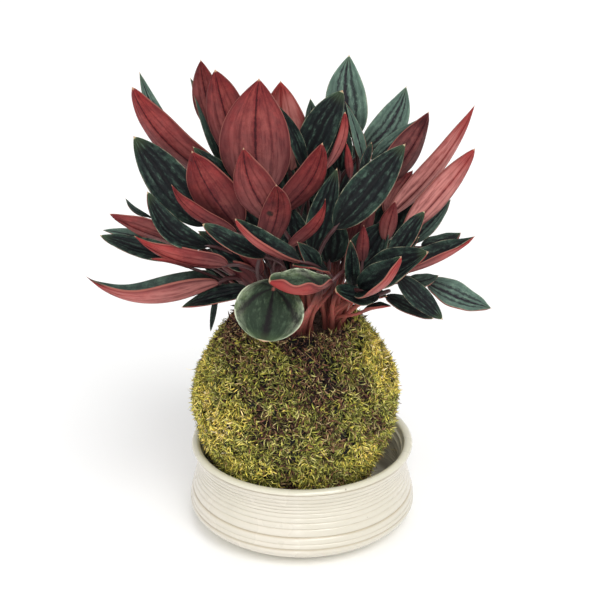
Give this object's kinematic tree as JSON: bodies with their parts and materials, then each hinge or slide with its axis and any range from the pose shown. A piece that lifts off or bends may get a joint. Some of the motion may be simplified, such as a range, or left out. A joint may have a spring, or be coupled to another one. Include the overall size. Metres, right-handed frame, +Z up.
{
  "type": "kokedama moss ball plant",
  "caption": "Leafy red-backed houseplant growing out of a moss-covered ball of soil that rests in a low, ribbed, glazed ceramic dish.",
  "frame": {"origin": "centre of the dish's foot, on the surface that it stands on", "axes": "+Z up, -Y towards the front that the picture shows, +X to the right seen from the front"},
  "size_m": [0.195, 0.1678, 0.242],
  "materials": {
    "cream_glaze": "gloss",
    "moss": "matte",
    "dark_soil": "matte",
    "leaf": "satin",
    "leaf_underside": "satin",
    "leaf_stalk": "satin"
  },
  "bodies": {
    "root": {"dish": "cream_glaze", "soil_core": "dark_soil", "moss_cover": "moss", "leafy_stem_centre": "leaf", "leafy_stem_front": "leaf", "leafy_stem_front_left": "leaf", "leafy_stem_back_left": "leaf", "leafy_stem_front_right": "leaf", "leafy_stem_back_right": "leaf", "leafy_stem_back": "leaf"}
  },
  "joints": []
}
